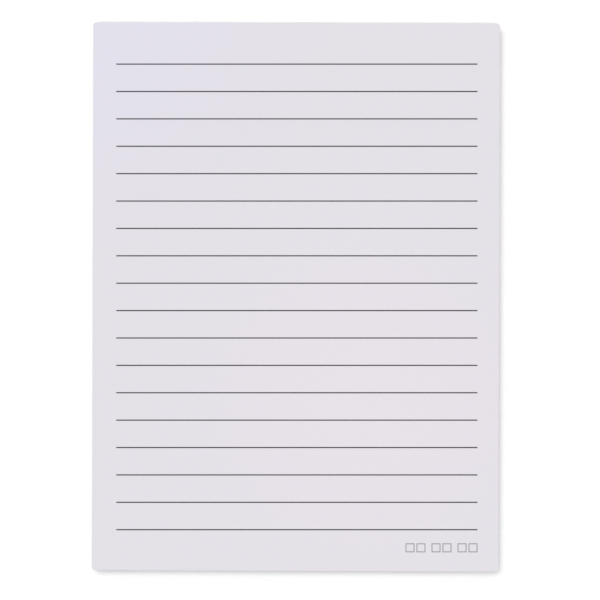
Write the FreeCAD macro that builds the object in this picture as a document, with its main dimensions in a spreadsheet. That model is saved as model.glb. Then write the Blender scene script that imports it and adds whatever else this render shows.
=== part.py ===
import FreeCAD, Part
import os
import Sketcher

# A writing pad lying flat: a block of ruled sheets on a stiff board, held along the head edge by
# a dried coat of padding glue. Millimetres, +Z up and +Y towards the glued head edge. The origin
# is under the middle of the whole pad, on the table.

# Each driving dimension: its alias in the sheet, its value and what it measures.
SIZES = (
    ("sheet_width", 118.8, "width of the sheets and the board"),
    ("sheet_length", 160.1, "length of the sheets, from the head edge to the foot"),
    ("corner_radius", 1, "radius of the four trimmed corners"),
    ("sheet_count", 50, "sheets in the block"),
    ("sheet_thickness", 0.1, "thickness of one sheet"),
    ("board_thickness", 0.7, "thickness of the backing board"),
    ("glue_thickness", 0.4, "thickness of the glue coat on the head edge"),
    ("ink_thickness", 0.02, "height of the print above the top sheet"),
    ("print_skew", 0.18, "degrees by which the print is turned on the trimmed sheet"),
    ("rule_pitch", 8, "distance from one rule to the next"),
    ("rule_width", 0.34, "width of a rule's line"),
    ("head_margin", 12, "head edge to the first rule"),
    ("foot_margin", 10, "least blank band between the last rule and the foot"),
    ("left_margin", 6.9, "left side of the sheet to the start of a rule"),
    ("right_margin", 6.4, "end of a rule to the right side of the sheet"),
    ("date_drop", 5.3, "last rule to the middle of the date boxes"),
    ("date_size", 2.6, "side of a date box, outside"),
    ("date_stroke", 0.25, "width of a date box's line"),
    ("date_gap", 0.6, "gap between the boxes of a pair"),
    ("date_pair_gap", 1.8, "gap between one pair of boxes and the next"),
    ("date_pair_boxes", 2, "boxes in a pair"),
    ("date_pairs", 3, "pairs of boxes: day, month and year"),
)

# Sizes that follow from the driving ones, as formulas on the aliases.
FORMULAS = (
    ("block_height", "=sheet_count * sheet_thickness", "height of the sheets"),
    ("pad_height", "=board_thickness + block_height", "table to the top sheet"),
    ("glue_length", "=sheet_width - 2 * corner_radius", "straight part of the head edge"),
    ("rule_length", "=sheet_width - left_margin - right_margin", "length of a rule"),
    ("rule_middle", "=(left_margin - right_margin) / 2", "middle of the sheet to a rule's middle"),
    ("rule_end", "=sheet_width / 2 - right_margin", "middle of the sheet to a rule's right end"),
    ("ruled_gaps", "=floor((sheet_length - head_margin - foot_margin) / rule_pitch)",
     "spaces between rules that the sheet has room for"),
    ("first_rule", "=sheet_length / 2 - head_margin", "middle of the sheet to the first rule"),
    ("last_rule", "=first_rule - ruled_gaps * rule_pitch", "middle of the sheet to the last rule"),
    ("date_pitch", "=date_size + date_gap", "one box of a pair to the next"),
    ("date_pair_pitch",
     "=date_pair_boxes * date_size + (date_pair_boxes - 1) * date_gap + date_pair_gap",
     "one pair of boxes to the next"),
    ("date_reach", "=(date_pair_boxes - 1) * date_pitch + (date_pairs - 1) * date_pair_pitch",
     "first date box to the last"),
)

# The side that a rectangle is first drawn with. Its own sizes replace it.
DRAWN_SIDE = 1.0
UP = FreeCAD.Vector(0, 0, 1)
FIRST_TURN = 1.0


def write_sheet(doc):
    """The spreadsheet of sizes: a name, a value with its alias, and a note in each row."""
    sheet = doc.addObject("Spreadsheet::Sheet", "sizes")
    for row, (alias, value, note) in enumerate(SIZES + FORMULAS, start=1):
        sheet.set(f"A{row}", alias)
        sheet.set(f"B{row}", str(value))
        sheet.set(f"C{row}", note)
        sheet.setAlias(f"B{row}", alias)
    doc.recompute()
    return sheet


def add_body(doc, name, height, skew=None):
    """A sub-part's own body, with its place: `height` above the table and, for print, its turn.

    The turn needs an axis before its angle can follow a formula, hence the first turn.
    """
    body = doc.addObject("PartDesign::Body", name)
    body.Label = name
    body.setExpression("Placement.Base.y", "-sizes.glue_thickness / 2 * 1 mm")
    body.setExpression("Placement.Base.z", f"{height} * 1 mm")
    if skew:
        body.Placement.Rotation = FreeCAD.Rotation(UP, FIRST_TURN)
        body.setExpression("Placement.Rotation.Angle", f"{skew} * 1 deg")
    return body


def origin_part(body, role):
    """The plane or axis of the body's own origin that has this role."""
    for part in body.Origin.OriginFeatures:
        if part.Role == role:
            return part
    raise ValueError(f"{body.Label} has no {role}")


def add_sketch(body, name, across="0", along="0"):
    """A sketch on the body's XY plane, with its own origin moved by two formulas."""
    sketch = body.newObject("Sketcher::SketchObject", name)
    sketch.AttachmentSupport = [(origin_part(body, "XY_Plane"), "")]
    sketch.MapMode = "FlatFace"
    sketch.setExpression("AttachmentOffset.Base.x", f"({across}) * 1 mm")
    sketch.setExpression("AttachmentOffset.Base.y", f"({along}) * 1 mm")
    return sketch


def draw_rectangle(sketch, name, width, length):
    """A rectangle about the sketch's origin, with its width and length as named constraints."""
    half = DRAWN_SIDE / 2
    corners = [
        FreeCAD.Vector(-half, -half, 0),
        FreeCAD.Vector(half, -half, 0),
        FreeCAD.Vector(half, half, 0),
        FreeCAD.Vector(-half, half, 0),
    ]
    first = sketch.GeometryCount
    lines = range(first, first + len(corners))
    for corner, following in zip(corners, corners[1:] + corners[:1]):
        sketch.addGeometry(Part.LineSegment(corner, following), False)
    for line, following in zip(lines, list(lines)[1:] + [first]):
        sketch.addConstraint(Sketcher.Constraint("Coincident", line, 2, following, 1))
    for line in (first, first + 2):
        sketch.addConstraint(Sketcher.Constraint("Horizontal", line))
    for line in (first + 1, first + 3):
        sketch.addConstraint(Sketcher.Constraint("Vertical", line))
    sketch.addConstraint(Sketcher.Constraint("Symmetric", first, 1, first + 2, 1, -1, 1))
    for side, kind, line, formula in (
        ("width", "DistanceX", first, width),
        ("length", "DistanceY", first + 1, length),
    ):
        index = sketch.addConstraint(Sketcher.Constraint(kind, line, 1, line, 2, DRAWN_SIDE))
        sketch.renameConstraint(index, f"{name}_{side}")
        sketch.setExpression(f"Constraints.{name}_{side}", f"({formula}) * 1 mm")


def add_pad(body, sketch, height):
    """The sketch raised by the formula's height."""
    pad = body.newObject("PartDesign::Pad", f"{sketch.Name}_pad")
    pad.Profile = sketch
    pad.setExpression("Length", f"({height}) * 1 mm")
    return pad


def round_corners(doc, body, pad):
    """The four upright edges of a padded rectangle, rounded as the trimmed corners are."""
    doc.recompute()
    upright = []
    for number, edge in enumerate(pad.Shape.Edges, start=1):
        start, end = (vertex.Point for vertex in edge.Vertexes)
        if abs(end.z - start.z) > max(abs(end.x - start.x), abs(end.y - start.y)):
            upright.append(f"Edge{number}")
    fillet = body.newObject("PartDesign::Fillet", f"{body.Name}_corners")
    fillet.Base = (pad, upright)
    fillet.setExpression("Radius", "sizes.corner_radius * 1 mm")
    return fillet


def add_leaf_stack(doc, name, thickness, height):
    """A slab of the sheets' trimmed outline: the board, or the block of sheets."""
    body = add_body(doc, name, height)
    outline = add_sketch(body, f"{name}_outline")
    draw_rectangle(outline, "outline", "sizes.sheet_width", "sizes.sheet_length")
    pad = add_pad(body, outline, thickness)
    body.Tip = round_corners(doc, body, pad)
    return body


def add_glue(doc):
    """The coat of glue, on the head edge of the sheets and the board between their corners."""
    body = add_body(doc, "binding_glue", "0")
    outline = add_sketch(
        body, "glue_outline", along="sizes.sheet_length / 2 + sizes.glue_thickness / 2"
    )
    draw_rectangle(outline, "glue", "sizes.glue_length", "sizes.glue_thickness")
    body.Tip = add_pad(body, outline, "sizes.pad_height")
    return body


def add_rules(doc):
    """The printed rules: one line at the head, repeated down the sheet."""
    body = add_body(doc, "ruled_lines", "sizes.pad_height", "sizes.print_skew")
    line = add_sketch(body, "rule_line", across="sizes.rule_middle", along="sizes.first_rule")
    draw_rectangle(line, "rule", "sizes.rule_length", "sizes.rule_width")
    pad = add_pad(body, line, "sizes.ink_thickness")
    rules = body.newObject("PartDesign::LinearPattern", "rules")
    rules.Originals = [pad]
    rules.Direction = (origin_part(body, "Y_Axis"), [""])
    rules.Reversed = True
    rules.Mode = "Extent"
    rules.setExpression("Length", "sizes.ruled_gaps * sizes.rule_pitch * 1 mm")
    rules.setExpression("Occurrences", "sizes.ruled_gaps + 1")
    body.Tip = rules
    return body


def add_date_boxes(doc):
    """Pairs of small outline boxes under the last rule, ending where the rules end."""
    body = add_body(doc, "date_boxes", "sizes.pad_height", "sizes.print_skew")
    box = add_sketch(
        body,
        "date_box",
        across="sizes.rule_end - sizes.date_size / 2 - sizes.date_reach",
        along="sizes.last_rule - sizes.date_drop",
    )
    draw_rectangle(box, "outer", "sizes.date_size", "sizes.date_size")
    inner = "sizes.date_size - 2 * sizes.date_stroke"
    draw_rectangle(box, "inner", inner, inner)
    pad = add_pad(body, box, "sizes.ink_thickness")
    boxes = body.newObject("PartDesign::LinearPattern", "boxes")
    boxes.Originals = [pad]
    boxes.Direction = (origin_part(body, "X_Axis"), [""])
    boxes.Mode = "Extent"
    boxes.setExpression("Length", "(sizes.date_pair_boxes - 1) * sizes.date_pitch * 1 mm")
    boxes.setExpression("Occurrences", "sizes.date_pair_boxes")
    boxes.Direction2 = (origin_part(body, "X_Axis"), [""])
    boxes.Mode2 = "Extent"
    boxes.setExpression("Length2", "(sizes.date_pairs - 1) * sizes.date_pair_pitch * 1 mm")
    boxes.setExpression("Occurrences2", "sizes.date_pairs")
    body.Tip = boxes
    return body


def check(doc, pieces):
    """Stops before anything is written if a feature failed or a piece has no valid shape."""
    for item in doc.Objects:
        if "Invalid" in item.State or "Error" in item.State:
            raise RuntimeError(f"{item.Label} failed: {item.State}")
    for piece in pieces:
        if piece.Shape.isNull() or not piece.Shape.isValid():
            raise RuntimeError(f"{piece.Label} has no valid shape")


def main():
    doc = FreeCAD.newDocument("writing_pad")
    write_sheet(doc)
    pieces = [
        add_leaf_stack(doc, "backing_board", "sizes.board_thickness", "0"),
        add_leaf_stack(doc, "page_block", "sizes.block_height", "sizes.board_thickness"),
        add_glue(doc),
        add_rules(doc),
        add_date_boxes(doc),
    ]
    doc.recompute()
    check(doc, pieces)
    os.makedirs("parts", exist_ok=True)
    for piece in pieces:
        piece.Shape.exportStep(f"parts/{piece.Label}.step")
        box = piece.Shape.BoundBox
        print(
            f"{piece.Label}: {len(piece.Shape.Solids)} solids, {piece.Shape.Volume:.3f} mm3, "
            f"x {box.XMin:.3f} to {box.XMax:.3f}, y {box.YMin:.3f} to {box.YMax:.3f}, "
            f"z {box.ZMin:.3f} to {box.ZMax:.3f}"
        )


main()
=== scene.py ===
import math

import bmesh
import bpy
import numpy as np
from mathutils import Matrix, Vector


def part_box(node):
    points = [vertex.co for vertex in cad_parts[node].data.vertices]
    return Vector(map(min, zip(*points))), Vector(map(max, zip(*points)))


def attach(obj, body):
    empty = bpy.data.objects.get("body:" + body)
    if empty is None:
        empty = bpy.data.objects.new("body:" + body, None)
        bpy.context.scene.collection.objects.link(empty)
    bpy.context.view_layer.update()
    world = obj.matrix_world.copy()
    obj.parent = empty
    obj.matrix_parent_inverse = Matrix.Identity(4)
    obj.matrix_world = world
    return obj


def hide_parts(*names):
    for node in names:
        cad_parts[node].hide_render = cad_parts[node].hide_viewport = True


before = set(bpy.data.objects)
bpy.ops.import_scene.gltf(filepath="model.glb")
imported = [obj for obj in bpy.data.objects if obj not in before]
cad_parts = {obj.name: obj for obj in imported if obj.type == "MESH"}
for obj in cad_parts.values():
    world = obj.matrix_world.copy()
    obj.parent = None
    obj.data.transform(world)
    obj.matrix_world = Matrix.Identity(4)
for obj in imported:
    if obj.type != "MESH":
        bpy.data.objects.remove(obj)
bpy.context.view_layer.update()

bl_info = {
    "name": "Ruled writing pad",
    "version": (1, 0, 0),
    "blender": (4, 5, 0),
    "location": "View3D > Sidebar > Writing pad",
    "description": "A glued pad of ruled sheets on a stiff board, dressed around its solids",
    "category": "Object",
}

MM = 0.001
BODY = "root"
WHITE = (1.0, 1.0, 1.0, 1.0)

# The photograph's frame, in pixels: its side, the rules' spacing and the middle of the top sheet.
PHOTO_SIDE = 600.0
PHOTO_RULE_PITCH = 27.387
PHOTO_SHEET_MIDDLE = (296.0, 297.07)

# Seeds of the three pieces' random draws.
SHEETS_SEED = 7
BOARD_SEED = 11
GLUE_SEED = 3

# Where the rows of a cap lie, from 0 at its rim to 1 at its spine.
PLAIN_CAP = (0.02, 0.5, 1.0)
FACE_CAP = (0.0, 0.02, 0.25, 0.5, 0.75, 1.0)

# Places of a Mix node's sockets, whose names repeat from one type of data to the next.
MIX_FACTOR = 0
MIX_NUMBERS = (2, 3)
MIX_COLOURS = (6, 7)
MIX_NUMBER_OUT = 0
MIX_COLOUR_OUT = 2


def srgb(red, green, blue):
    """The scene's linear colour for three screen levels from 0 to 255, by the sRGB curve."""
    levels = np.array((red, green, blue)) / 255.0
    linear = np.where(levels <= 0.04045, levels / 12.92, ((levels + 0.055) / 1.055) ** 2.4)
    return tuple(float(level) for level in linear)


def length(name, description, default_mm):
    """A length property that is written here in millimetres and kept in metres."""
    return bpy.props.FloatProperty(
        name=name,
        description=description,
        default=default_mm * MM,
        min=0.0,
        precision=5,
        subtype="DISTANCE",
        unit="LENGTH",
    )


def colour(name, description, levels):
    """A colour property that is written here as screen levels."""
    return bpy.props.FloatVectorProperty(
        name=name,
        description=description,
        default=srgb(*levels),
        min=0.0,
        max=1.0,
        size=3,
        subtype="COLOR",
    )


class PadSizes(bpy.types.PropertyGroup):
    """Sizes of the pad's fine detail. Its overall sizes come from the solids."""

    sheets: bpy.props.IntProperty(
        name="Sheets", description="Sheets in the block", default=50, min=1
    )
    corner_radius: length("Corner radius", "Radius of the trimmed corners", 1.0)
    outline_step: length("Outline step", "Spacing of points along a sheet's edge", 1.9)
    board_step: length("Board step", "Spacing of points along the board's edge", 1.14)
    trim_wander: length("Trim wander", "How far the knife wandered from a straight cut", 0.05)
    sheet_jitter: length("Sheet jitter", "How far a sheet's edge stands back from the next", 0.025)
    seam_depth: length("Seam depth", "Depth of the groove between two sheets", 0.05)
    seam_height: length("Seam height", "Half the height of that groove at its mouth", 0.009)
    loose_gap: length("Loose gap", "Half the height that an opened groove gains", 0.035)
    stack_wander: length("Stack wander", "How far a sheet rises or dips inside the block", 0.03)
    stack_lean: bpy.props.FloatVectorProperty(
        name="Stack lean",
        description="How far the top sheet lies to the right and to the head of the bottom one",
        default=(-0.16 * MM, 0.18 * MM),
        size=2,
        precision=5,
        subtype="XYZ_LENGTH",
        unit="LENGTH",
    )
    board_arris: length("Board arris", "Rounding of the board's trimmed edges", 0.12)
    board_fray: length("Board fray", "How rough the board's cut edge is", 0.03)
    glue_ripple: length("Glue ripple", "How much the brushed coat's thickness varies", 0.06)
    glue_root: length("Glue root", "How far the coat's back lies inside the sheets' edges", 0.3)
    glue_shy: length("Glue stop", "How far under the top sheet's face the coat stops", 0.04)
    glue_end: length("Glue end", "How far from its ends the coat reaches its thickness", 1.2)
    glue_lip: length("Glue lip", "How far from its top and foot it reaches its thickness", 0.35)
    rule_pitch: length("Rule pitch", "Distance from one rule to the next", 8.0)
    print_skew: bpy.props.FloatProperty(
        name="Print skew",
        description="Turn of the print on the trimmed sheet",
        default=math.radians(0.18),
        subtype="ANGLE",
        unit="ROTATION",
    )


class PadColours(bpy.types.PropertyGroup):
    """The pad's colours."""

    # The paper's palest colour is the middle of a painted pool of light, and paper_far is the sheet
    # outside it.
    paper: colour("Paper", "Face of a sheet where it is palest", (232, 226, 233))
    paper_far: colour("Paper, far", "Face of a sheet towards its edges", (227, 224, 231))
    # The cool colour is painted cool light at the sheet's left head corner.
    paper_painted_cool_light: colour("Paper, cool", "Face of a sheet at its left head corner", (226, 224, 236))
    paper_cloud: colour("Paper cloud", "Thin patches of a sheet", (229, 224, 231))
    edge: colour("Cut edges", "Trimmed edges of the sheets", (226, 223, 227))
    # The cut edge lines are painted shade in the gaps between the sheets.
    edge_shade: colour("Cut edge lines", "Darker lines among the sheets' edges", (196, 192, 196))
    board: colour("Board", "Face and edge of the chipboard", (158, 151, 142))
    board_dark: colour("Board dark fibres", "Dark fibres in the chipboard", (112, 104, 96))
    glue: colour("Glue", "Dried padding glue", (236, 233, 231))
    glue_thin: colour("Thin glue", "Sheets' edges seen through the glue", (222, 218, 217))
    glue_board: colour("Glue over board", "Board's edge seen through the glue", (194, 188, 179))
    rule_ink: colour("Rule ink", "Ink of the rules", (26, 24, 29))
    grey_ink: colour("Grey ink", "Ink of the date boxes", (140, 137, 144))


class PadStudio(bpy.types.PropertyGroup):
    """The camera's lens, the light and the floor."""

    lens: bpy.props.FloatProperty(
        name="Lens", description="Focal length in millimetres", default=135.0, min=1.0
    )
    key_share: bpy.props.FloatProperty(
        name="Key share",
        description="Part of the light on the sheet that comes from the lamp",
        default=0.5,
        min=0.0,
        max=1.0,
        subtype="FACTOR",
    )
    key_lean: bpy.props.FloatVectorProperty(
        name="Key lean",
        description="How far the lamp leans to the right and to the head, for each unit of height",
        default=(-0.16, 0.225),
        size=2,
    )
    key_angle: bpy.props.FloatProperty(
        name="Key angle",
        description="Apparent width of the lamp",
        default=math.radians(25.0),
        subtype="ANGLE",
        unit="ROTATION",
    )
    floor_side: length("Floor side", "Side of the square floor", 8000.0)
    floor_lift: bpy.props.FloatProperty(
        name="Floor lift",
        description="White that the floor adds for the camera",
        default=0.152,
        min=0.0,
    )
    floor: colour("Floor", "Colour of the pale floor", (240, 240, 240))


def wave_noise(rng, *runs, waves, spread=(0.6, 1.8)):
    """Smooth noise about 0: the sum of plane cosine waves, divided by the root of their number.

    `runs` are pairs (coordinate, wavelength). A wave's own length on each coordinate is that
    wavelength times a draw from `spread`, and its phase and its direction are drawn too.
    """
    phase = rng.uniform(0.0, math.tau, waves)
    shape = np.broadcast_shapes(*(np.shape(run) for run, _ in runs))
    each = (waves,) + (1,) * len(shape)
    angle = np.zeros((waves,) + shape)
    for run, wavelength in runs:
        turns = rng.choice((-1.0, 1.0), waves) / (wavelength * rng.uniform(*spread, waves))
        angle += turns.reshape(each) * np.asarray(run)
    total = np.cos(math.tau * angle + phase.reshape(each)).sum(axis=0)
    return total / math.sqrt(waves)


def quarter_round(share):
    """A quarter circle's rise, from 0 at share 0 to 1 at share 1: sqrt(1 - (1 - share)^2)."""
    return np.sqrt(1.0 - (1.0 - np.clip(share, 0.0, 1.0)) ** 2)


def outline(low, high, radius, step, corner_parts=8):
    """A rounded rectangle, counterclockwise from the start of its right head corner's arc.

    Returns its points, its outward normals, the length run to each point and the whole length.
    An arc is `corner_parts` equal parts of a quarter turn, and a side is equal parts of about
    `step`.
    """
    centres = np.array(
        (
            (high.x - radius, high.y - radius),
            (low.x + radius, high.y - radius),
            (low.x + radius, low.y + radius),
            (high.x - radius, low.y + radius),
        )
    )
    quarter = np.linspace(0.0, math.pi / 2, corner_parts + 1)
    points, normals = [], []
    for number, centre in enumerate(centres):
        angle = quarter + number * math.pi / 2
        arc = np.stack((np.cos(angle), np.sin(angle)), axis=1)
        following = centres[(number + 1) % len(centres)]
        side = following - centre
        parts = max(1, round(float(np.hypot(*side)) / step))
        along = np.arange(1, parts)[:, None] / parts
        points += [centre + radius * arc, centre + radius * arc[-1] + along * side]
        normals += [arc, np.repeat(arc[-1:], parts - 1, axis=0)]
    points = np.concatenate(points)
    normals = np.concatenate(normals)
    hops = np.hypot(*(np.roll(points, -1, axis=0) - points).T)
    run = np.concatenate(((0.0,), np.cumsum(hops)[:-1]))
    return points, normals, run, float(hops.sum())


def rows_at(points, normals, offset, height):
    """A row of the outline, moved out by `offset` and set at `height`: p + offset * n, height."""
    flat = points + np.asarray(offset)[..., None] * normals
    level = np.broadcast_to(np.asarray(height, float)[..., None], flat.shape[:-1] + (1,))
    return np.concatenate((flat, level), axis=-1)


def cap_rows(rim, shares):
    """Rows from a rim to the spine at its height: (1 - w) * rim + w * spine, for each share w.

    The spine is the part of the middle line that the rim's short sides don't reach, so the cap
    has no pole: its two halves meet along a line.
    """
    half_width = (rim[:, 0].max() - rim[:, 0].min()) / 2
    middle = (rim[:, 0].max() + rim[:, 0].min()) / 2
    spine = rim.copy()
    spine[:, 0] = middle
    spine[:, 1] = np.clip(rim[:, 1], rim[:, 1].min() + half_width, rim[:, 1].max() - half_width)
    share = np.asarray(shares)[:, None, None]
    return (1.0 - share) * rim + share * spine


def ring_faces(rows, columns):
    """The quads of a grid whose rows are closed rings, facing out when rows run upwards."""
    corner = np.arange(rows - 1)[:, None] * columns + np.arange(columns)
    beside = np.arange(rows - 1)[:, None] * columns + (np.arange(columns) + 1) % columns
    return np.stack((corner, beside, beside + columns, corner + columns), axis=-1).reshape(-1, 4)


def weld_mesh(mesh, distance):
    """Joins points that fall together, which closes seams and spines, and turns faces outwards."""
    work = bmesh.new()
    work.from_mesh(mesh)
    bmesh.ops.remove_doubles(work, verts=work.verts, dist=distance)
    bmesh.ops.recalc_face_normals(work, faces=work.faces)
    work.to_mesh(mesh)
    work.free()


def new_piece(name, grid, faces, materials, face_material=None, weld=1e-7, sharp=32.0):
    """A mesh object from a grid of points and its quads, which rides on the pad's one body.

    Points nearer than `weld` are joined, and faces that turn less than `sharp` degrees look
    smooth. `face_material` gives each face's material where there is more than one.
    """
    mesh = bpy.data.meshes.new(name)
    points = grid.reshape(-1, 3)
    mesh.from_pydata(points.tolist(), [], faces.tolist())
    for material in materials:
        mesh.materials.append(material)
    if face_material is not None:
        mesh.polygons.foreach_set("material_index", face_material.astype(np.int32))
    piece = bpy.data.objects.new(name, mesh)
    bpy.context.scene.collection.objects.link(piece)
    weld_mesh(mesh, weld)
    mesh.polygons.foreach_set("use_smooth", np.ones(len(mesh.polygons), bool))
    mesh.set_sharp_from_angle(angle=math.radians(sharp))
    mesh.update()
    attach(piece, BODY)
    return piece


def grey(level):
    """An even grey, for a ramp whose result is a share."""
    return (level, level, level)


class Shader:
    """One material's node tree, with short ways to add what the pad's finishes need."""

    def __init__(self, name, roughness, specular):
        self.material = bpy.data.materials.new(name)
        self.material.use_nodes = True
        self.nodes = self.material.node_tree.nodes
        self.links = self.material.node_tree.links
        self.surface = self.nodes["Principled BSDF"]
        self.surface.inputs["Roughness"].default_value = roughness
        self.surface.inputs["Specular IOR Level"].default_value = specular
        self.place = self.nodes.new("ShaderNodeTexCoord").outputs["Object"]
        self.normal = None

    def noise(self, size, stretch=(1.0, 1.0, 1.0), detail=3.0, roughness=0.5):
        """Noise whose patches are about `size` wide, longer along an axis by its stretch."""
        mapping = self.nodes.new("ShaderNodeMapping")
        mapping.inputs["Scale"].default_value = [1.0 / (size * share) for share in stretch]
        self.links.new(self.place, mapping.inputs["Vector"])
        noise = self.nodes.new("ShaderNodeTexNoise")
        noise.inputs["Scale"].default_value = 1.0
        noise.inputs["Detail"].default_value = detail
        noise.inputs["Roughness"].default_value = roughness
        self.links.new(mapping.outputs["Vector"], noise.inputs["Vector"])
        return noise.outputs["Fac"]

    def place_against(self, operation, vector):
        """The place's dot product with a direction, or its distance from a point."""
        against = self.nodes.new("ShaderNodeVectorMath")
        against.operation = operation
        against.inputs[1].default_value = vector
        self.links.new(self.place, against.inputs[0])
        return against.outputs["Value"]

    def smooth(self, value, start, end):
        """From 0 where the value is `start` to 1 where it is `end`, and smooth between."""
        share = self.nodes.new("ShaderNodeMapRange")
        share.interpolation_type = "SMOOTHSTEP"
        share.inputs["From Min"].default_value = start
        share.inputs["From Max"].default_value = end
        self.links.new(value, share.inputs["Value"])
        return share.outputs["Result"]

    def above(self, start, end):
        """From 0 at the height `start` to 1 at the height `end`."""
        return self.smooth(self.place_against("DOT_PRODUCT", (0.0, 0.0, 1.0)), start, end)

    def near(self, centre, full, none):
        """1 within `full` of a point and 0 beyond `none` of it."""
        return self.smooth(self.place_against("DISTANCE", centre), none, full)

    def blend(self, first, second, share):
        """Two noises mixed, with `share` of the second."""
        mix = self.nodes.new("ShaderNodeMix")
        mix.data_type = "FLOAT"
        mix.inputs[MIX_FACTOR].default_value = share
        for noise, socket in zip((first, second), MIX_NUMBERS):
            self.links.new(noise, mix.inputs[socket])
        return mix.outputs[MIX_NUMBER_OUT]

    def tones(self, factor, *stops):
        """A ramp of colours along a factor. The stops are (place, colour), in rising order."""
        ramp = self.nodes.new("ShaderNodeValToRGB")
        elements = ramp.color_ramp.elements
        for place, _ in stops[len(elements):]:
            elements.new(place)
        for element, (place, value) in zip(elements, stops):
            element.position = place
            element.color = (*value, 1.0)
        self.links.new(factor, ramp.inputs["Fac"])
        return ramp.outputs["Color"]

    def over(self, under, upper, factor):
        """One even colour laid over the painted ones where the factor is 1."""
        mix = self.nodes.new("ShaderNodeMix")
        mix.data_type = "RGBA"
        painted, laid = MIX_COLOURS
        mix.inputs[laid].default_value = (*upper, 1.0)
        self.links.new(factor, mix.inputs[MIX_FACTOR])
        self.links.new(under, mix.inputs[painted])
        return mix.outputs[MIX_COLOUR_OUT]

    def paint(self, colour_socket):
        """The surface's colour."""
        self.links.new(colour_socket, self.surface.inputs["Base Color"])

    def bump(self, height, depth, strength):
        """Relief of `depth` from a noise, added to any relief before it."""
        bump = self.nodes.new("ShaderNodeBump")
        bump.inputs["Strength"].default_value = strength
        bump.inputs["Distance"].default_value = depth
        self.links.new(height, bump.inputs["Height"])
        if self.normal is not None:
            self.links.new(self.normal, bump.inputs["Normal"])
        self.normal = bump.outputs["Normal"]
        self.links.new(self.normal, self.surface.inputs["Normal"])


def paper_face(colours):
    """A sheet's face: uncoated paper, faintly cloudy, with short fibres along the sheet.

    Painted light makes it palest a little right of its middle and below it, and cooler at its left
    head corner.
    """
    shader = Shader("paper_face", roughness=0.88, specular=0.25)
    low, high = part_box("page_block")
    painted_light_pool_centre = (20 * MM, -30 * MM, high.z)
    painted_cool_light_corner = (low.x, high.y, high.z)
    # Painted light: a pool of paler paper round this point, fading to the far colour.
    pale = shader.near(painted_light_pool_centre, full=5 * MM, none=80 * MM)
    # Painted light: a cool tint round the left head corner.
    painted_cool_light = shader.near(painted_cool_light_corner, full=15 * MM, none=70 * MM)
    face = shader.tones(pale, (0.0, colours.paper_far), (1.0, colours.paper))
    face = shader.over(face, colours.paper_painted_cool_light, painted_cool_light)
    clouds = shader.noise(size=2.6 * MM, detail=4.0, roughness=0.6)
    fibres = shader.noise(size=0.09 * MM, stretch=(1.0, 5.0, 1.0), detail=2.0)
    tone = shader.blend(clouds, fibres, share=0.45)
    thin = shader.tones(tone, (0.36, grey(0.5)), (0.6, grey(0.0)))
    shader.paint(shader.over(face, colours.paper_cloud, thin))
    shader.bump(fibres, depth=0.006 * MM, strength=0.5)
    return shader.material


def paper_edge(colours):
    """The trimmed edges: painted shade in a fine line between sheets, broader bands of tone, and
    faint knife marks.
    """
    shader = Shader("paper_edge", roughness=0.92, specular=0.2)
    lines = shader.noise(size=0.11 * MM, stretch=(160.0, 160.0, 1.0), detail=1.0)
    bands = shader.noise(size=0.7 * MM, stretch=(40.0, 40.0, 1.0), detail=2.0)
    knife = shader.noise(size=0.16 * MM, stretch=(1.0, 1.0, 30.0), detail=2.0)
    tone = shader.blend(lines, bands, share=0.4)
    # The darker colour is painted shade in the gaps between sheets, mixed with broader random bands
    # of tone.
    shader.paint(shader.tones(tone, (0.34, colours.edge_shade), (0.52, colours.edge)))
    shader.bump(lines, depth=0.02 * MM, strength=0.6)
    shader.bump(knife, depth=0.006 * MM, strength=0.4)
    return shader.material


def chipboard(colours, pale_gain=1.3):
    """Grey chipboard: pressed waste fibre with dark flecks and pale ones.

    A pale fleck is `pale_gain` times as light as the board.
    """
    shader = Shader("chipboard", roughness=0.95, specular=0.15)
    clouds = shader.noise(size=3.0 * MM, detail=5.0, roughness=0.65)
    flecks = shader.noise(size=0.22 * MM, stretch=(3.0, 1.0, 1.0), detail=4.0, roughness=0.7)
    plies = shader.noise(size=0.09 * MM, stretch=(60.0, 60.0, 1.0), detail=2.0)
    tone = shader.blend(clouds, flecks, share=0.55)
    pale = [min(1.0, level * pale_gain) for level in colours.board]
    shader.paint(shader.tones(tone, (0.36, colours.board_dark), (0.47, colours.board), (0.66, pale)))
    shader.bump(flecks, depth=0.03 * MM, strength=0.7)
    shader.bump(plies, depth=0.03 * MM, strength=0.5)
    return shader.material


def dried_glue(colours, board_blur=0.08 * MM):
    """Dried padding glue: milky and a little glossy, brushed on up the edge.

    The sheets' edges show through where it is thin, and the board's edge shows at its foot. The
    border between them is blurred by `board_blur` upwards and downwards.
    """
    shader = Shader("dried_glue", roughness=0.34, specular=0.5)
    lines = shader.noise(size=0.13 * MM, stretch=(120.0, 1.0, 1.0), detail=1.0)
    brush = shader.noise(size=0.7 * MM, stretch=(1.0, 1.0, 9.0), detail=3.0)
    clouds = shader.noise(size=5.0 * MM, stretch=(2.0, 2.0, 1.0), detail=3.0)
    cover = shader.blend(shader.blend(clouds, brush, share=0.55), lines, share=0.4)
    coat = shader.tones(cover, (0.38, colours.glue_thin), (0.54, colours.glue))
    low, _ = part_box("page_block")
    over_board = shader.above(low.z + board_blur, low.z - board_blur)
    shader.paint(shader.over(coat, colours.glue_board, over_board))
    shader.bump(brush, depth=0.03 * MM, strength=0.5)
    shader.bump(lines, depth=0.012 * MM, strength=0.5)
    return shader.material


def printed_ink(name, ink, paper, paper_share=0.12):
    """Matt printing ink, a little thinner where the paper's fibres take less of it.

    Where it is thinnest, `paper_share` of its colour is the paper's.
    """
    shader = Shader(name, roughness=0.7, specular=0.3)
    grain = shader.noise(size=0.12 * MM, detail=3.0, roughness=0.6)
    thin = [(1.0 - paper_share) * dark + paper_share * pale for dark, pale in zip(ink, paper)]
    shader.paint(shader.tones(grain, (0.45, ink), (0.75, thin)))
    return shader.material


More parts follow.
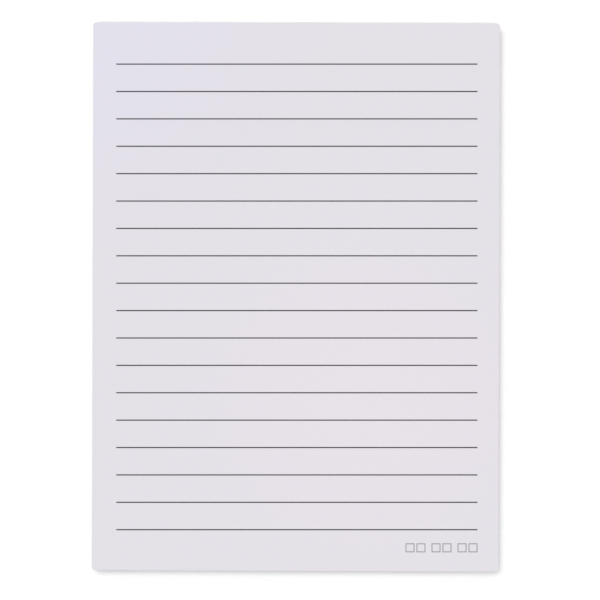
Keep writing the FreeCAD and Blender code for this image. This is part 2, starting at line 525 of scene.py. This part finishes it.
def seam_heights(sizes, rng, low, high, run, foot):
    """Each seam's height round the outline: base + k * leaf + wander * bow * foot * waves.

    The bow is half a sine over the seams, so the block's two faces stay flat, and `foot` runs
    from 0 at the glued head to 1 at the foot.
    """
    sheets_per_wave = 14.0
    edge_per_wave = 90 * MM
    level = np.arange(sizes.sheets + 1)[:, None]
    leaf = (high.z - low.z) / sizes.sheets
    bow = np.sin(math.pi * level / sizes.sheets)
    waves = wave_noise(rng, (level, sheets_per_wave), (run, edge_per_wave), waves=9)
    return low.z + level * leaf + sizes.stack_wander * bow * foot * waves


def trimmed_edges(sizes, rng, turn, foot):
    """How far each sheet's edge stands out: wander * waves * hold + jitter * step.

    The waves are a slow one round the outline and one up the stack, whose lengths on the
    outline are measured on a circle of radius 1. The hold weakens them at the glued head. The
    step is each sheet's own, between -1 and 0.
    """
    slow_round, slow_sheets, slow_share = 1.6, 60.0, 0.4
    stack_round, stack_sheets = 2.4, 11.0
    head_hold = 0.3
    sheet = np.arange(sizes.sheets)[:, None]
    across, along = np.cos(turn), np.sin(turn)
    slow = wave_noise(
        rng, (across, slow_round), (along, slow_round), (sheet, slow_sheets), waves=5
    )
    stack = wave_noise(
        rng, (sheet, stack_sheets), (across, stack_round), (along, stack_round), waves=9
    )
    step = rng.uniform(-1.0, 0.0, (sizes.sheets, 1))
    waves = slow_share * slow + (1.0 - slow_share) * stack
    hold = head_hold + (1.0 - head_hold) * foot
    return sizes.trim_wander * waves * hold + sizes.sheet_jitter * step


def opened_grooves(sizes, rng, run, foot):
    """Half the height of each seam's groove at its mouth.

    It is the seam's own half height + loose_gap * loose * foot^2 * waves. A power of an even
    draw leaves most seams closed, and the waves open the others in stretches.
    """
    rarity = 6
    edge_per_wave = 60 * MM
    seams_per_wave = 5.0
    level = np.arange(sizes.sheets + 1)[:, None]
    loose = rng.uniform(0.0, 1.0, level.shape) ** rarity
    loose[0] = loose[-1] = 0.0
    waves = wave_noise(rng, (run, edge_per_wave), (level, seams_per_wave), waves=5)
    opened = foot**2 * ((1.0 + waves) / 2).clip(0.0, 1.0)
    return sizes.seam_height + sizes.loose_gap * loose * opened


def add_page_block(sizes, colours):
    """The block of sheets, as rows carried up its outline.

    A seam's row is pushed in behind both sheets' edges beside it, by the seam's depth and by
    `groove_slope` times what its groove has opened. Each sheet has a lower and an upper row
    beside its seams. The caps run to a spine, and the face's rim lies just inside the top
    sheet's edge. A point at height z then moves by lean * ((z - base) / height - pivot).
    """
    groove_slope = 6.0
    lean_pivot = 0.6
    low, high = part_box("page_block")
    rng = np.random.default_rng(SHEETS_SEED)
    points, normals, run, around = outline(low, high, sizes.corner_radius, sizes.outline_step)
    foot = ((high.y - points[:, 1]) / (high.y - low.y)).clip(0.0, 1.0)
    seams = seam_heights(sizes, rng, low, high, run, foot)
    trim = trimmed_edges(sizes, rng, run / around * math.tau, foot)
    groove = opened_grooves(sizes, rng, run, foot)
    depth = sizes.seam_depth + groove_slope * (groove - sizes.seam_height)

    beside = np.concatenate((trim[:1], np.minimum(trim[:-1], trim[1:]), trim[-1:]))
    seam_rows = rows_at(points, normals, beside - depth, seams)
    lower_rows = rows_at(points, normals, trim, seams[:-1] + groove[:-1])
    upper_rows = rows_at(points, normals, trim, seams[1:] - groove[1:])
    sides = np.stack((seam_rows[:-1], lower_rows, upper_rows), axis=1)
    sides = sides.reshape(-1, *seam_rows.shape[1:])
    rim = rows_at(points, normals, trim[-1] - sizes.seam_height, np.full(len(points), high.z))
    under = cap_rows(seam_rows[0], PLAIN_CAP[::-1])
    face = cap_rows(rim, FACE_CAP)

    grid = np.concatenate((under, sides, face))
    rise = (grid[..., 2:] - low.z) / (high.z - low.z)
    grid[..., :2] += np.array(sizes.stack_lean) * (rise - lean_pivot)
    cut_rows = np.zeros(len(grid) - 1, int)
    cut_rows[len(under) - 1:len(under) + len(sides)] = 1
    return new_piece(
        "page_block_sheets",
        grid,
        ring_faces(len(grid), len(points)),
        (paper_face(colours), paper_edge(colours)),
        np.repeat(cut_rows, len(points)),
    )


def add_backing_board(sizes, colours):
    """The board: a round-edged profile carried round the outline, roughened by the knife.

    The profile's height runs from the underside to the top face. Its edge stands in by the fray,
    more near both faces, where a quarter circle rounds the arris, and more or less between them
    by a fibre-sized ripple: -arris * (1 - quarter round) - fray * (1 + share * waves * sine).
    """
    profile_rows = 13
    thickness_per_wave = 0.35
    edge_per_wave = 4 * MM
    ripple_share = 0.5
    low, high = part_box("backing_board")
    rng = np.random.default_rng(BOARD_SEED)
    points, normals, run, _ = outline(low, high, sizes.corner_radius, sizes.board_step)
    rise = np.linspace(0.0, 1.0, profile_rows)[:, None]
    height = low.z + (high.z - low.z) * rise
    reach = np.minimum(height - low.z, high.z - height)
    arris = sizes.board_arris * (1.0 - quarter_round(reach / sizes.board_arris))
    waves = wave_noise(rng, (rise, thickness_per_wave), (run, edge_per_wave), waves=14)
    ripple = waves * np.sin(math.pi * rise)
    offset = -arris - sizes.board_fray * (1.0 + ripple_share * ripple)
    sides = rows_at(points, normals, offset, height * np.ones(len(points)))
    under = cap_rows(sides[0], PLAIN_CAP[::-1])
    upper = cap_rows(sides[-1], PLAIN_CAP)
    grid = np.concatenate((under, sides, upper))
    return new_piece(
        "backing_board_chip", grid, ring_faces(len(grid), len(points)), (chipboard(colours),)
    )


def add_binding_glue(sizes, colours):
    """The glue coat: a closed skin on the head edge, f(along the edge, round its section).

    The outside stands off the sheets by the coat's thickness, less a brushed ripple and a faint
    rib for every few sheets. It rounds in by a quarter circle, to nothing at both ends and to a
    share of its thickness at its top and foot. The back lies just inside the sheets' edges, and
    the coat stops just under the top sheet's face.
    """
    rows_along = 181
    rows_up = 45
    run_per_wave, rise_per_wave = 7 * MM, 9 * MM
    sheets_per_rib = 3.0
    mean_share, brush_share, rib_share = 0.5, 0.35, 0.06
    lip_share = 0.35
    low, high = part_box("binding_glue")
    rng = np.random.default_rng(GLUE_SEED)
    along = np.linspace(0.0, 1.0, rows_along)[:, None]
    up = np.linspace(0.0, 1.0, rows_up)[None, :]
    x = low.x + (high.x - low.x) * along
    z = low.z + (high.z - sizes.glue_shy - low.z) * up
    brush = wave_noise(rng, (x, run_per_wave), (z, rise_per_wave), waves=12)
    ribs = np.cos(math.tau * z / (sheets_per_rib * (high.z - low.z) / sizes.sheets))
    ripple = sizes.glue_ripple * (mean_share + brush_share * brush + rib_share * ribs)
    thick = high.y - low.y - ripple
    ends = np.minimum(along, 1.0 - along) * (high.x - low.x) / sizes.glue_end
    lips = np.minimum(up, 1.0 - up) * (high.z - low.z) / sizes.glue_lip
    lip = lip_share + (1.0 - lip_share) * quarter_round(lips)
    front_line = low.y + thick * quarter_round(ends) * lip
    front = np.stack(np.broadcast_arrays(x, front_line, z), axis=-1)
    back_line = np.full_like(front_line, low.y - sizes.glue_root)
    back = np.stack(np.broadcast_arrays(x, back_line, z), axis=-1)[:, ::-1]
    grid = np.concatenate((front, back), axis=1)

    rows, columns = grid.shape[:2]
    rung = np.arange(columns // 2 - 1)
    across = columns - 1 - rung
    end = np.stack((rung, rung + 1, across - 1, across), axis=1)
    faces = np.concatenate((ring_faces(rows, columns), end, end + (rows - 1) * columns))
    return new_piece("binding_glue_coat", grid, faces, (dried_glue(colours),))


def dress_print(node, material):
    """The print keeps its solids and gets its ink."""
    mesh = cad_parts[node].data
    mesh.materials.clear()
    mesh.materials.append(material)


class PadOperator:
    """What every step of the pad shares."""

    bl_options = {"REGISTER", "UNDO"}

    @property
    def sizes(self):
        return bpy.context.scene.pad_sizes

    @property
    def colours(self):
        return bpy.context.scene.pad_colours


class PAD_OT_page_block(PadOperator, bpy.types.Operator):
    """Makes the block of sheets"""

    bl_idname = "writing_pad.page_block"
    bl_label = "Page block"

    def execute(self, context):
        piece = add_page_block(self.sizes, self.colours)
        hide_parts("page_block")
        return {"FINISHED"}


class PAD_OT_backing_board(PadOperator, bpy.types.Operator):
    """Makes the stiff board under the sheets"""

    bl_idname = "writing_pad.backing_board"
    bl_label = "Backing board"

    def execute(self, context):
        piece = add_backing_board(self.sizes, self.colours)
        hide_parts("backing_board")
        return {"FINISHED"}


class PAD_OT_binding_glue(PadOperator, bpy.types.Operator):
    """Makes the coat of glue on the head edge"""

    bl_idname = "writing_pad.binding_glue"
    bl_label = "Binding glue"

    def execute(self, context):
        piece = add_binding_glue(self.sizes, self.colours)
        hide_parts("binding_glue")
        return {"FINISHED"}


class PAD_OT_print(PadOperator, bpy.types.Operator):
    """Inks the rules and the date boxes"""

    bl_idname = "writing_pad.print"
    bl_label = "Print"

    def execute(self, context):
        colours = self.colours
        dress_print("ruled_lines", printed_ink("rule_ink", colours.rule_ink, colours.paper))
        dress_print("date_boxes", printed_ink("grey_ink", colours.grey_ink, colours.paper))
        return {"FINISHED"}


class PAD_OT_stage(PadOperator, bpy.types.Operator):
    """Makes the floor, the light and the camera"""

    bl_idname = "writing_pad.stage"
    bl_label = "Stage"

    def execute(self, context):
        studio = context.scene.pad_studio
        add_floor(studio)
        add_light(studio)
        add_camera(studio, self.sizes)
        return {"FINISHED"}


def seen_by_eye(tree):
    """1 for what the camera sees, straight or in a gloss or through a clear thing, else 0."""
    path = tree.nodes.new("ShaderNodeLightPath")
    seen = path.outputs["Is Camera Ray"]
    for ray in ("Is Glossy Ray", "Is Transmission Ray"):
        most = tree.nodes.new("ShaderNodeMath")
        most.operation = "MAXIMUM"
        tree.links.new(seen, most.inputs[0])
        tree.links.new(path.outputs[ray], most.inputs[1])
        seen = most.outputs["Value"]
    return seen


def add_floor(studio):
    """A wide pale floor. The camera sees it a little whiter than it is, and sees its shadows."""
    half = studio.floor_side / 2
    mesh = bpy.data.meshes.new("floor")
    corners = ((-half, -half, 0.0), (half, -half, 0.0), (half, half, 0.0), (-half, half, 0.0))
    mesh.from_pydata(corners, [], (range(len(corners)),))
    floor = bpy.data.objects.new("floor", mesh)
    bpy.context.scene.collection.objects.link(floor)
    material = bpy.data.materials.new("floor")
    material.use_nodes = True
    tree = material.node_tree
    tree.nodes.clear()
    output = tree.nodes.new("ShaderNodeOutputMaterial")
    both = tree.nodes.new("ShaderNodeAddShader")
    matt = tree.nodes.new("ShaderNodeBsdfDiffuse")
    matt.inputs["Color"].default_value = (*studio.floor, 1.0)
    glow = tree.nodes.new("ShaderNodeEmission")
    lift = tree.nodes.new("ShaderNodeMath")
    lift.operation = "MULTIPLY"
    lift.inputs[1].default_value = studio.floor_lift
    tree.links.new(seen_by_eye(tree), lift.inputs[0])
    tree.links.new(lift.outputs["Value"], glow.inputs["Strength"])
    tree.links.new(matt.outputs["BSDF"], both.inputs[0])
    tree.links.new(glow.outputs["Emission"], both.inputs[1])
    tree.links.new(both.outputs["Shader"], output.inputs["Surface"])
    mesh.materials.append(material)


def add_light(studio):
    """An even white surround, and a broad lamp that leans over the sheet's left head corner.

    The lamp's strength is its share of the light on a level sheet, so it grows with its lean.
    """
    world = bpy.data.worlds.new("surround")
    bpy.context.scene.world = world
    world.use_nodes = True
    tree = world.node_tree
    tree.nodes.clear()
    output = tree.nodes.new("ShaderNodeOutputWorld")
    mix = tree.nodes.new("ShaderNodeMixShader")
    light = tree.nodes.new("ShaderNodeBackground")
    light.inputs["Color"].default_value = WHITE
    light.inputs["Strength"].default_value = 1.0 - studio.key_share
    backdrop = tree.nodes.new("ShaderNodeBackground")
    backdrop.inputs["Color"].default_value = WHITE
    backdrop.inputs["Strength"].default_value = 1.0
    tree.links.new(seen_by_eye(tree), mix.inputs["Fac"])
    tree.links.new(light.outputs["Background"], mix.inputs[1])
    tree.links.new(backdrop.outputs["Background"], mix.inputs[2])
    tree.links.new(mix.outputs["Shader"], output.inputs["Surface"])

    lean = Vector((*studio.key_lean, 1.0))
    lamp = bpy.data.lights.new("key", "SUN")
    lamp.energy = studio.key_share * math.pi * lean.length
    lamp.angle = studio.key_angle
    key = bpy.data.objects.new("key", lamp)
    key.location = lean
    key.rotation_euler = lean.to_track_quat("Z", "Y").to_euler()
    bpy.context.scene.collection.objects.link(key)


def add_camera(studio, sizes):
    """The camera straight over the pad, turned with the print, at the photograph's scale.

    The field is the photograph's side in rule pitches, and the distance follows from the lens.
    The camera stands over the point of the sheet that the photograph's middle shows.
    """
    low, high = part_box("page_block")
    pixel = sizes.rule_pitch / PHOTO_RULE_PITCH
    data = bpy.data.cameras.new("camera")
    data.lens = studio.lens
    field = PHOTO_SIDE * pixel
    distance = field / data.sensor_width * data.lens
    right = (PHOTO_SIDE / 2 - PHOTO_SHEET_MIDDLE[0]) * pixel
    down = (PHOTO_SIDE / 2 - PHOTO_SHEET_MIDDLE[1]) * pixel
    turn = sizes.print_skew
    middle = (low + high) / 2
    camera = bpy.data.objects.new("camera", data)
    camera.location = (
        middle.x + right * math.cos(turn) + down * math.sin(turn),
        middle.y + right * math.sin(turn) - down * math.cos(turn),
        high.z + distance,
    )
    camera.rotation_euler = (0.0, 0.0, turn)
    bpy.context.scene.collection.objects.link(camera)
    bpy.context.scene.camera = camera
    bpy.context.scene.view_settings.view_transform = "Standard"


STEPS = (
    PAD_OT_page_block,
    PAD_OT_backing_board,
    PAD_OT_binding_glue,
    PAD_OT_print,
    PAD_OT_stage,
)


class PAD_PT_sidebar(bpy.types.Panel):
    """Lists the pad's steps, sizes and colours"""

    bl_idname = "PAD_PT_sidebar"
    bl_label = "Writing pad"
    bl_space_type = "VIEW_3D"
    bl_region_type = "UI"
    bl_category = "Writing pad"

    def draw(self, context):
        for step in STEPS:
            self.layout.operator(step.bl_idname)
        for name, _ in GROUPS:
            group = getattr(context.scene, name)
            box = self.layout.box()
            for entry in group.__annotations__:
                box.prop(group, entry)


GROUPS = (("pad_sizes", PadSizes), ("pad_colours", PadColours), ("pad_studio", PadStudio))


def register():
    for name, group in GROUPS:
        bpy.utils.register_class(group)
        setattr(bpy.types.Scene, name, bpy.props.PointerProperty(type=group))
    for step in (*STEPS, PAD_PT_sidebar):
        bpy.utils.register_class(step)


def unregister():
    for step in reversed((*STEPS, PAD_PT_sidebar)):
        bpy.utils.unregister_class(step)
    for name, group in reversed(GROUPS):
        delattr(bpy.types.Scene, name)
        bpy.utils.unregister_class(group)


def main():
    register()
    bpy.ops.writing_pad.page_block()
    bpy.ops.writing_pad.backing_board()
    bpy.ops.writing_pad.binding_glue()
    bpy.ops.writing_pad.print()
    bpy.ops.writing_pad.stage()


if __name__ == "__main__":
    main()
